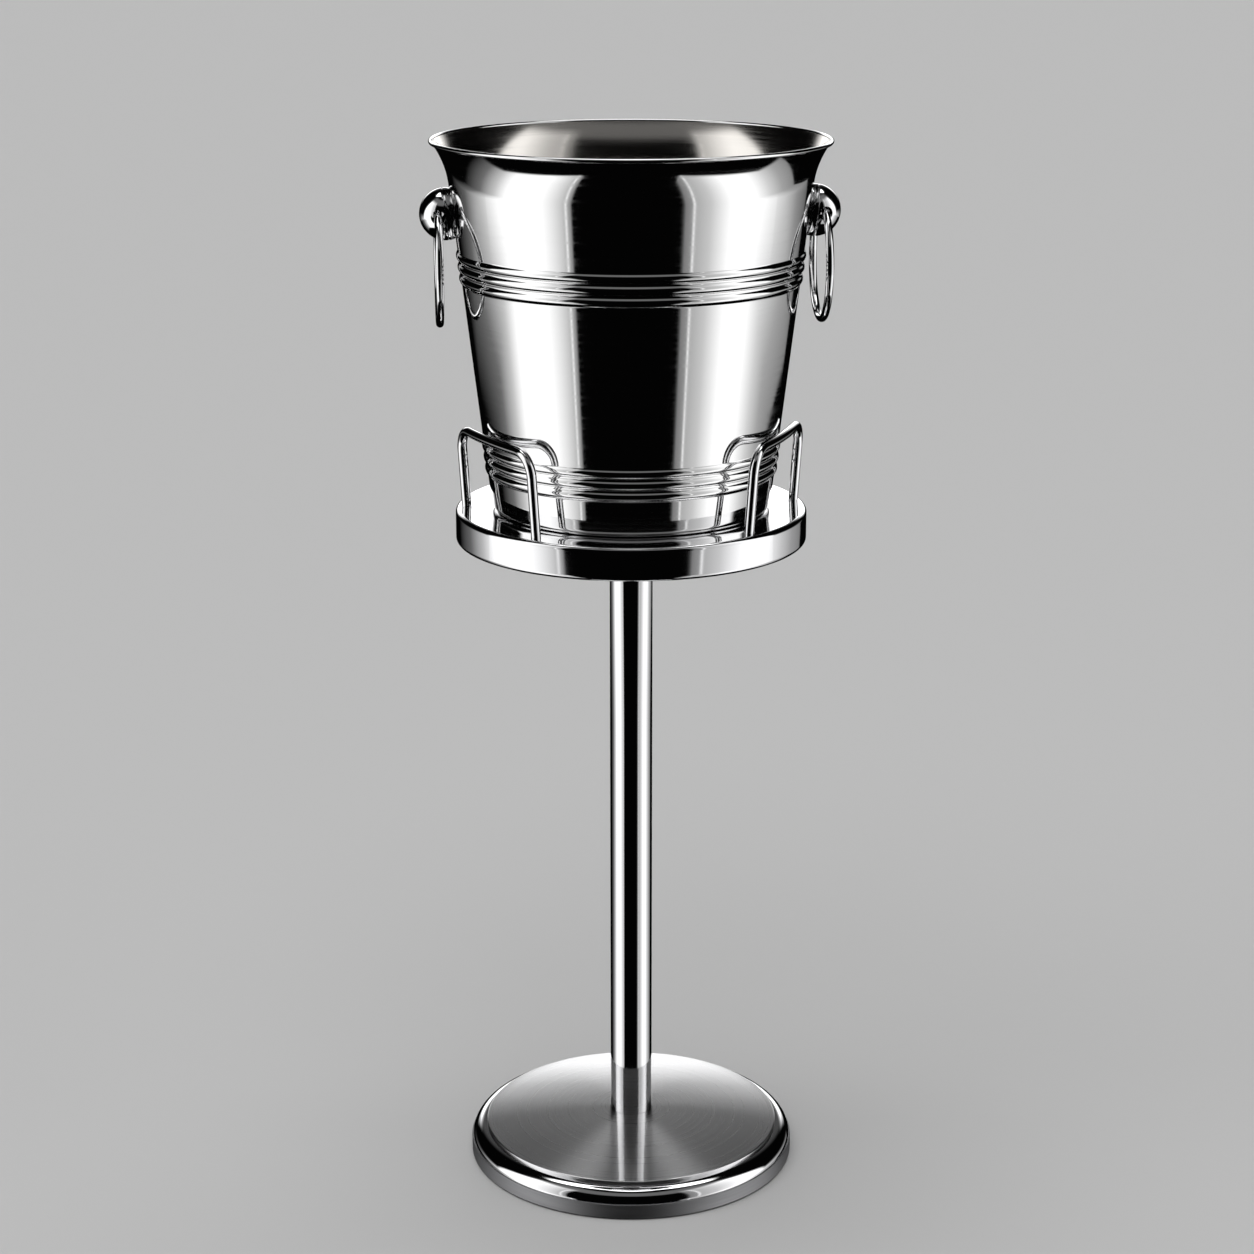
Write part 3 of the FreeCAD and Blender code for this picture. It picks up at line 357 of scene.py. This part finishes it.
def lathe_tree():
    tree, g, given, made = new_tree("lathe", (
        ("Steps", "NodeSocketInt"), ("First Finish", "NodeSocketMaterial"),
        ("Second From", "NodeSocketInt"), ("Second Finish", "NodeSocketMaterial"),
        ("Third From", "NodeSocketInt"), ("Third Finish", "NodeSocketMaterial")))
    outline = given.outputs["Geometry"]
    rows = g.add("GeometryNodeAttributeDomainSize", "Point Count", Geometry=outline)
    index = g.add("GeometryNodeInputIndex")

    def column_and_row(count):
        column = g.math("FLOOR", g.math("DIVIDE", g.math("ADD", index, 0.5), count))
        return column, g.math("SUBTRACT", index, g.math("MULTIPLY", column, count))

    column, row = column_and_row(rows)
    grid = g.add("GeometryNodeMeshGrid", "Mesh", (), Size_X=1.0, Size_Y=1.0, Vertices_Y=rows,
                 Vertices_X=g.math("ADD", given.outputs["Steps"], 1.0))
    point = g.add("GeometryNodeSampleIndex", 0, (("data_type", "FLOAT_VECTOR"),),
                  Geometry=outline, Value=g.add("GeometryNodeInputPosition"), Index=row)
    angle = g.math("MULTIPLY", g.math("DIVIDE", column, given.outputs["Steps"]), 2 * math.pi)
    placed = g.add("ShaderNodeVectorRotate", 0, (("rotation_type", "Z_AXIS"),), Vector=point,
                   Angle=angle)
    shape = g.add("GeometryNodeSetPosition", 0, (), Geometry=grid, Position=placed)
    shape = g.add("GeometryNodeSetMaterial", 0, (), Geometry=shape,
                  Material=given.outputs["First Finish"])
    face_row = column_and_row(g.math("SUBTRACT", rows, 1.0))[1]
    for which in ("Second", "Third"):
        past = g.add("FunctionNodeCompare", 0, (
            ("data_type", "FLOAT"), ("operation", "GREATER_EQUAL")), A=face_row,
            B=given.outputs[which + " From"])
        shape = g.add("GeometryNodeSetMaterial", 0, (), Geometry=shape, Selection=past,
                      Material=given.outputs[which + " Finish"])
    merged = g.add("GeometryNodeMergeByDistance", 0, (), Geometry=shape, Distance=1e-6)
    solid = g.add("GeometryNodeRealizeInstances", 0, (), Geometry=merged)
    tree.links.new(solid, made.inputs[0])
    return tree


LATHE = lathe_tree()
print("lathe tree: %d nodes" % len(LATHE.nodes))

# %% [markdown]
# A modifier's inputs are set by identifier, and the result is taken off the evaluated object as a
# plain mesh. The outline is closed, so the skin is closed too, and its faces can be turned
# outward in one step.

# %% Run a tree and keep its mesh
SAME_POINT = 1e-6
SHARP_EDGE = math.radians(35)
NO_ROW = (10 ** 6, None)


def run_tree(name, tree, values, points, edges, thickness=()):
    """The mesh that a tree makes of a line of points, as a plain object."""
    start = bpy.data.meshes.new(name)
    start.from_pydata(points, edges, [])
    if thickness:
        start.attributes.new("thickness", "FLOAT", "POINT").data.foreach_set("value", thickness)
    piece = bpy.data.objects.new(name, start)
    bpy.context.scene.collection.objects.link(piece)
    modifier = piece.modifiers.new("nodes", "NODES")
    modifier.node_group = tree
    for item in tree.interface.items_tree:
        if item.in_out == "INPUT" and item.name in values:
            modifier[item.identifier] = values[item.name]
    mesh = bpy.data.meshes.new_from_object(
        piece.evaluated_get(bpy.context.evaluated_depsgraph_get()))
    piece.modifiers.remove(modifier)
    mesh.name = name
    piece.data = mesh
    shape = bmesh.new()
    shape.from_mesh(mesh)
    bmesh.ops.remove_doubles(shape, verts=shape.verts, dist=SAME_POINT)
    bmesh.ops.recalc_face_normals(shape, faces=shape.faces)
    for face in shape.faces:
        face.smooth = True
    shape.to_mesh(mesh)
    shape.free()
    mesh.set_sharp_from_angle(angle=SHARP_EDGE)
    print("%s: %d faces" % (name, len(mesh.polygons)))
    return piece


def turned_piece(name, outline, finish, second=NO_ROW, third=NO_ROW, steps=224):
    """Turns a closed outline of (radius, height) points in millimetres about the axis. second and
    third give the row where another finish starts, and that finish."""
    points = [(radius * MM, 0.0, up * MM) for radius, up in outline]
    if points[0][0]:
        points.append(points[0])
    edges = [(number, number + 1) for number in range(len(points) - 1)]
    return run_tree(name, LATHE, {
        "Steps": steps, "First Finish": finish, "Second From": second[0],
        "Second Finish": second[1] or finish, "Third From": third[0],
        "Third Finish": third[1] or finish}, points, edges)


# %% [markdown]
# An outline is drawn as a draughtsman would: straight lines between corners, each corner rounded
# by its own small radius. Even a sharp folded edge gets a few tenths, so that it can catch a line
# of light.

# %% Outlines with rounded corners


def rounded(corners, step=6.0):
    """Points along lines that join (radius, height, corner radius); a corner has one every step
    degrees, and one more a little way along each line, to keep the flats flat."""
    outline = []
    for place, (x, y, bend) in enumerate(corners):
        if not bend or place in (0, len(corners) - 1):
            outline.append((x, y))
            continue
        here = Vector((x, y))
        back = (Vector(corners[place - 1][:2]) - here).normalized()
        ahead = (Vector(corners[place + 1][:2]) - here).normalized()
        half = back.angle(ahead) / 2
        reach = bend / math.tan(half)
        centre = here + (back + ahead).normalized() * (bend / math.sin(half))
        first = here + back * reach - centre
        turn = math.pi - 2 * half
        if back.x * ahead.y - back.y * ahead.x > 0:
            turn = -turn
        outline.append(tuple(here + back * (reach + 0.2)))
        count = max(2, math.ceil(abs(math.degrees(turn)) / step))
        for number in range(count + 1):
            share = turn * number / count
            outline.append((centre.x + first.x * math.cos(share) - first.y * math.sin(share),
                            centre.y + first.x * math.sin(share) + first.y * math.cos(share)))
        outline.append(tuple(here + ahead * (reach + 0.2)))
    return outline


def arc(centre, radius, start, end, count):
    """Points of an arc from start to end degrees."""
    turns = [math.radians(start + (end - start) * number / count) for number in range(count + 1)]
    return [(centre[0] + radius * math.cos(turn), centre[1] + radius * math.sin(turn))
            for turn in turns]


# %% [markdown]
# The bucket is drawn from one sheet, 1 mm thick. From the middle of its kicked-up bottom the
# outline runs out to the foot, up the tapered wall with its six ribs, and along the flared lip to
# the round bead; then it comes back down the inside. Each rib swells like a parabola, and a soft
# maximum blends its feet into the wall, as the press does.

# %% The bucket's outline
TRAY_TOP = 412.0
SHEET = 1.0
FOOT_RADIUS = 81.042
WALL_TAPER = math.radians(6.8)
WALL_SLOPE = math.tan(WALL_TAPER)
RIB_HEIGHTS = (23.9, 30.5, 37.1, 134.2, 140.8, 147.4)
RIB_WIDTH = 5.2
RIB_BULGE = 1.25
RIB_BLEND = 0.1
LIP_START = (103.4, 187.5)
LIP_END = (113.15, 211.75)
BEAD_RADIUS = 1.25
RIB_BANDS = ((20.6, 40.4), (130.9, 150.7))


def wall_radius(up):
    return FOOT_RADIUS + WALL_SLOPE * up


def rib_swell(up, bulge=RIB_BULGE):
    swell = 0.0
    for middle in RIB_HEIGHTS:
        crown = bulge * (1 - ((up - middle) / (RIB_WIDTH / 2)) ** 2)
        swell += RIB_BLEND * math.log1p(math.exp(min(crown / RIB_BLEND, 60.0)))
    return swell


def wall_heights(low, high, fine):
    """Heights up the wall: close together on the ribs, far apart between the two bands."""
    heights = [low]
    for start, end in RIB_BANDS:
        count = round((end - start) / fine)
        heights += [start + (end - start) * number / count for number in range(count + 1)]
    return heights + [high]


across, up = LIP_END[0] - LIP_START[0], LIP_END[1] - LIP_START[1]
sine, cosine = math.sin(WALL_TAPER), math.cos(WALL_TAPER)
LIP_RADIUS = (across ** 2 + up ** 2) / (2 * (across * cosine - up * sine))
LIP_CENTRE = (LIP_START[0] + LIP_RADIUS * cosine, LIP_START[1] - LIP_RADIUS * sine)
lip_from = math.degrees(math.atan2(LIP_START[1] - LIP_CENTRE[1], LIP_START[0] - LIP_CENTRE[0]))
lip_to = math.degrees(math.atan2(LIP_END[1] - LIP_CENTRE[1], LIP_END[0] - LIP_CENTRE[0]))
print("lip radius %.1f mm, turned %.1f degrees" % (LIP_RADIUS, lip_from - lip_to))

# %% [markdown]
# The outline is put together in order: bottom, outside wall, lip, bead, inside wall, floor. The
# number of points up to the bead's far side is kept, because the inside finish starts there.

# %% Turn the bucket
KICK_UP = 3.0
KICK_INNER, KICK_OUTER = 58.04, 62.04
KICK_BEND = 1.5
FOOT_BEND = 4.5
WALL_FOOT = 12.0
WALL_FROM, WALL_TO = 13.0, 187.0
BEAD_TURN = 306.9
INSIDE_FLATTER = 0.12

bottom = rounded([(0, KICK_UP, 0), (KICK_INNER, KICK_UP, KICK_BEND), (KICK_OUTER, 0.0, KICK_BEND),
                  (FOOT_RADIUS, 0.0, FOOT_BEND), (wall_radius(WALL_FOOT), WALL_FOOT, 0)])
outside = [(wall_radius(h) + rib_swell(h), h) for h in wall_heights(WALL_FROM, WALL_TO, 0.3)]
to_bead = math.degrees(BEAD_RADIUS / LIP_RADIUS)
lip = arc(LIP_CENTRE, LIP_RADIUS, lip_from, lip_to + to_bead, 28)
lip_heading = lip_to - 90.0
bead = arc(LIP_END, BEAD_RADIUS, lip_heading + 180.0, lip_heading + 180.0 + BEAD_TURN,
           26)[1:]
inner_lip = arc(LIP_CENTRE, LIP_RADIUS + SHEET, lip_to + to_bead * 0.55, lip_from, 28)
slant = SHEET / cosine
inside = [(wall_radius(h) - slant + rib_swell(h, RIB_BULGE - INSIDE_FLATTER), h)
          for h in reversed(wall_heights(WALL_FROM, WALL_TO, 0.45))]
bucket_floor = rounded([(wall_radius(WALL_FOOT) - slant, WALL_FOOT, 0),
                        (wall_radius(SHEET) - slant, SHEET, FOOT_BEND - SHEET),
                        (KICK_OUTER + SHEET, SHEET, KICK_BEND),
                        (KICK_INNER + SHEET, KICK_UP + SHEET, KICK_BEND),
                        (0, KICK_UP + SHEET, 0)])
to_inside = len(bottom + outside + lip + bead)
outline = bottom + outside + lip + bead + inner_lip + inside + bucket_floor
bucket = turned_piece("bucket", [(x, y + TRAY_TOP) for x, y in outline], bucket_outside,
                      second=(to_inside, bucket_inside))
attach(bucket, "bucket")
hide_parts("bucket_shell")

# %% [markdown]
# The tray is a shallow drum, pressed from thicker sheet. Its rim folds over with a small radius,
# and the lower edge of its skirt turns in. The hole in the middle takes the sunk screw.

# %% Turn the tray
TRAY_RADIUS = 102.642
TRAY_SHEET = 1.5
TRAY_FOOT = 392.6
TRAY_HEM = 2.4
TRAY_BEND = 2.6
SCREW_HOLE = 8.6

tray_inside = TRAY_RADIUS - TRAY_SHEET
tray_under = TRAY_TOP - TRAY_SHEET
hem_top = TRAY_FOOT + TRAY_SHEET
tray = turned_piece("tray_pressing", rounded([
    (SCREW_HOLE - TRAY_SHEET, tray_under, 0), (tray_inside, tray_under, TRAY_BEND - TRAY_SHEET),
    (tray_inside, hem_top, TRAY_HEM - TRAY_SHEET), (TRAY_RADIUS - TRAY_HEM, hem_top, 0.0),
    (TRAY_RADIUS - TRAY_HEM, TRAY_FOOT, 0.0), (TRAY_RADIUS, TRAY_FOOT, TRAY_HEM),
    (TRAY_RADIUS, TRAY_TOP, TRAY_BEND), (SCREW_HOLE, TRAY_TOP, 0)]), polished)
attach(tray, "stand")
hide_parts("tray")

# %% [markdown]
# The base's cover steps up twice: a low satin skirt, a round polished shoulder, and the buffed disc
# with its shallow crown. Each has its own finish, so two rows of the grid are counted.

# %% Turn the base cover
SKIRT_RADIUS = 99.5
SKIRT_LIFT = 1.0
SHOULDER_RADIUS = 98.7
SHOULDER_BEND = 8.4
SHOULDER_UP = 9.8
DISC_RADIUS = 90.0
DISC_UP = 20.4
DISC_EDGE = 0.9
CROWN = 950.0
POST_HOLE = 12.8
POST_UP = 25.8


def crown_line(sink, count=16):
    """The disc's shallow arc, from its edge in to the post, at a depth below the top face."""
    start = Vector((DISC_RADIUS - DISC_EDGE, DISC_UP))
    end = Vector((POST_HOLE, POST_UP))
    middle, half = (start + end) / 2, (end - start).length / 2
    down = Vector(((start - end).y, -(start - end).x)).normalized()
    centre = middle + down * math.sqrt(CROWN ** 2 - half ** 2)
    turns = [math.degrees(math.atan2(p.y - centre.y, p.x - centre.x)) for p in (start, end)]
    return arc(centre, CROWN - sink, turns[0], turns[1], count)


centre = (SHOULDER_RADIUS - SHOULDER_BEND, SHOULDER_UP)
skirt = rounded([(SKIRT_RADIUS - SHEET, SKIRT_LIFT, 0), (SKIRT_RADIUS, SKIRT_LIFT, 0.2),
                 (SKIRT_RADIUS, SHOULDER_UP, 0.45), (SHOULDER_RADIUS, SHOULDER_UP, 0)])
shoulder = arc(centre, SHOULDER_BEND, 0, 90, 18)[1:] + [(DISC_RADIUS, SHOULDER_UP + SHOULDER_BEND)]
disc = arc((DISC_RADIUS - DISC_EDGE, DISC_UP - DISC_EDGE), DISC_EDGE, 0, 90, 10)
disc += crown_line(0)[1:]
under = list(reversed(crown_line(SHEET))) + arc(centre, SHOULDER_BEND - SHEET, 90, 0, 12) + [
    (SKIRT_RADIUS - SHEET, SHOULDER_UP - SHEET)]
cover = turned_piece("base_pressing", skirt + shoulder + disc + under, satin,
                     second=(len(skirt) - 1, polished),
                     third=(len(skirt + shoulder) - 1, base_disc))
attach(cover, "stand")
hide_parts("base_cover")

# %% [markdown]
# The three retainers are one bent rod, made three times. The node tree sweeps a circle along the
# rod's centre line, whose thickness steps down to a stud below the tray, and sets a copy in each
# place: one at the back, and two at an equal angle either side of the front.

# %% A tree for the retainers


def retainer_tree():
    tree, g, given, made = new_tree("three_retainers", (
        ("Front Angle", "NodeSocketFloat"), ("Finish", "NodeSocketMaterial")))
    line = g.add("GeometryNodeMeshToCurve", 0, (), Mesh=given.outputs["Geometry"])
    thickness = g.add("GeometryNodeInputNamedAttribute", 0, (("data_type", "FLOAT"),),
                      Name="thickness")
    section = g.add("GeometryNodeCurvePrimitiveCircle", 0, (), Resolution=28, Radius=1.0)
    rod = g.add("GeometryNodeCurveToMesh", 0, (), Curve=line, Profile_Curve=section,
                Scale=thickness, Fill_Caps=True)
    index = g.add("GeometryNodeInputIndex")
    across = g.math("MULTIPLY", g.math("SUBTRACT", g.math("MULTIPLY", index, 2.0), 3.0),
                    given.outputs["Front Angle"])
    turn = g.math("MULTIPLY", g.math("ADD", across, math.pi), g.math("MINIMUM", index, 1.0))
    places = g.add("GeometryNodeMeshLine", 0, (), Count=3, Offset=(0.0, 0.0, 0.0))
    copies = g.add("GeometryNodeInstanceOnPoints", 0, (), Points=places, Instance=rod,
                   Rotation=g.add("ShaderNodeCombineXYZ", 0, (), Z=turn))
    solid = g.add("GeometryNodeRealizeInstances", 0, (), Geometry=copies)
    solid = g.add("GeometryNodeSetMaterial", 0, (), Geometry=solid,
                  Material=given.outputs["Finish"])
    tree.links.new(solid, made.inputs[0])
    return tree


# %% [markdown]
# One leg rises from the tray and bends through a quarter turn into a bar that bows outward, and
# the other leg mirrors it. The whole rod leans out a little, as the bucket's wall does.

# %% Bend the rod and place it
ROD = 2.8
STUD = 2.0
STUD_LENGTH = 8.5
FEET_CIRCLE = 96.042
HALF_SPAN = math.radians(26.5)
ROD_BEND = 13.0
ROD_TOP = 50.5 - ROD
BOW = math.radians(5.0)
LEAN = math.radians(3.8)
FOOT = 1.25
FRONT_ANGLE = math.radians(65.0)

half = FEET_CIRCLE * math.sin(HALF_SPAN)
chord = FEET_CIRCLE * math.cos(HALF_SPAN)
bar_end = half - ROD_BEND * math.cos(BOW)
bar_radius = bar_end / math.sin(BOW)
rod = [(half, 0.0, FOOT)]
for number in range(19):
    turn = math.radians(5.0 * number)
    inward = ROD_BEND * (1 - math.cos(turn))
    rod.append((half - inward * math.cos(BOW), inward * math.sin(BOW),
                ROD_TOP - ROD_BEND + ROD_BEND * math.sin(turn)))
for number in range(1, 12):
    x = bar_end * (1 - number / 12)
    bow_out = math.sqrt(bar_radius ** 2 - x ** 2) - bar_radius * math.cos(BOW)
    rod.append((x, ROD_BEND * math.sin(BOW) + bow_out, ROD_TOP))
rod = [(x, y * math.cos(LEAN) + z * math.sin(LEAN), z * math.cos(LEAN) - y * math.sin(LEAN))
       for x, y, z in rod]
leg = [(half, 0.0, -STUD_LENGTH, STUD), (half, 0.0, -0.02, STUD), (half, 0.0, 0.0, ROD)]
right = leg + [(x, y, z, ROD) for x, y, z in rod]
whole = right + [(-x, y, z, thick) for x, y, z, thick in reversed(right[:-1])]
points = [(x * MM, (y + chord) * MM, (z + TRAY_TOP) * MM) for x, y, z, _ in whole]
retainers = run_tree("retainers", retainer_tree(),
                     {"Front Angle": FRONT_ANGLE, "Finish": polished}, points,
                     [(number, number + 1) for number in range(len(points) - 1)],
                     thickness=[thick * MM for *_, thick in whole])
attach(retainers, "stand")
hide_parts("retainer_left", "retainer_right", "retainer_back")

# %% [markdown]
# Each handle hangs from a knob: a short barrel-shaped collar on the wall, and a hollow half ball
# that meets it at a fine groove. Two helpers come first. One tilts an upright piece onto the wall,
# and one bores the eye for the ring with a Boolean, from front to back, as a drill would.

# %% Helpers for the knobs
KNOB_ON_WALL = (101.515, 583.7)


def onto_wall(piece, side):
    """Tilts an upright piece onto the wall, on the right for side 1 or the left for side -1."""
    place = Matrix.Translation((side * KNOB_ON_WALL[0] * MM, 0.0, KNOB_ON_WALL[1] * MM))
    tilt = Matrix.Rotation(side * (math.pi / 2 + WALL_TAPER), 4, "Y")
    piece.data.transform(place @ tilt)


def bored(piece, radius, up, length):
    """Drills a hole along Y through an upright piece."""
    drill_mesh = bpy.data.meshes.new("drill")
    shape = bmesh.new()
    bmesh.ops.create_cone(shape, cap_ends=True, segments=72, radius1=radius, radius2=radius,
                          depth=length, matrix=Matrix.Translation((0.0, 0.0, up))
                          @ Matrix.Rotation(math.pi / 2, 4, "X"))
    shape.to_mesh(drill_mesh)
    shape.free()
    drill = bpy.data.objects.new("drill", drill_mesh)
    bpy.context.scene.collection.objects.link(drill)
    cut = piece.modifiers.new("eye", "BOOLEAN")
    cut.solver = "EXACT"
    cut.object = drill
    mesh = bpy.data.meshes.new_from_object(
        piece.evaluated_get(bpy.context.evaluated_depsgraph_get()))
    piece.modifiers.remove(cut)
    piece.data = mesh
    for face in mesh.polygons:
        face.use_smooth = True
    mesh.set_sharp_from_angle(angle=SHARP_EDGE)
    bpy.data.objects.remove(drill)


# %% [markdown]
# The collar and the dome are turned on the same lathe, standing up. The collar starts a little
# below the wall's surface, because the wall curves away under it.

# %% Turn, bore and place the knobs
BALL = 14.9
BALL_INSIDE = 13.4
SEAM_UP = 3.9
GROOVE = 0.35
COLLAR_BULGE = 10.0
EYE_UP = 8.3
EYE_RADIUS = 4.0
SUNK = 0.9
COLLAR_BORE = 10.0
COLLAR_TOP = SEAM_UP - 0.03
BALL_FOOT = SEAM_UP + 0.02
KNOB_STEPS = 112

bulge_centre = (BALL - COLLAR_BULGE, SEAM_UP - GROOVE)
low_turn = -math.degrees(math.asin((SEAM_UP - GROOVE + SUNK) / COLLAR_BULGE))
collar_side = arc(bulge_centre, COLLAR_BULGE, low_turn, 0, 10)
lowest = math.degrees(math.asin(GROOVE / BALL))
ball_outside = arc((0, SEAM_UP), BALL, lowest, 90, 40)[:-1] + [(0, SEAM_UP + BALL)]
ball_inside = [(0, SEAM_UP + BALL_INSIDE)] + arc((0, SEAM_UP), BALL_INSIDE, 90, 0, 28)[1:]
ball_foot = [(BALL - 0.5, BALL_FOOT)]
for side, word in ((-1, "left"), (1, "right")):
    collar = turned_piece("knob_collar_" + word, collar_side + [
        (BALL - GROOVE, COLLAR_TOP), (COLLAR_BORE, COLLAR_TOP), (COLLAR_BORE, -SUNK)], polished,
        steps=KNOB_STEPS)
    dome = turned_piece("knob_ball_" + word, list(reversed(ball_outside)) + ball_foot
                        + list(reversed(ball_inside)), polished, steps=KNOB_STEPS)
    bored(dome, EYE_RADIUS * MM, EYE_UP * MM, 3 * BALL * MM)
    for piece, node in ((collar, "knob_base_" + word), (dome, "knob_dome_" + word)):
        onto_wall(piece, side)
        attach(piece, "bucket")
        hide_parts(node)
    print("%s knob in place" % word)

# %% [markdown]
# A ring is a circle of wire. The lathe turns it too: its outline is the wire's own round section,
# a ring's radius from the axis. Then it is stood on edge and hung in the eye.

# %% Turn and hang the rings
RING_RADIUS = 32.2
WIRE = 2.25
RING_CENTRE = (109.7576, 553.34)
RING_STEPS = 144

for side, word in ((-1, "left"), (1, "right")):
    ring = turned_piece("ring_" + word, arc((RING_RADIUS, 0.0), WIRE, 0, 360, 32)[:-1], polished,
                        steps=RING_STEPS)
    ring.data.transform(Matrix.Translation((side * RING_CENTRE[0] * MM, 0.0,
                                            RING_CENTRE[1] * MM))
                        @ Matrix.Rotation(math.pi / 2, 4, "Y"))
    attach(ring, word + "_ring")
    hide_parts("handle_ring_" + word)
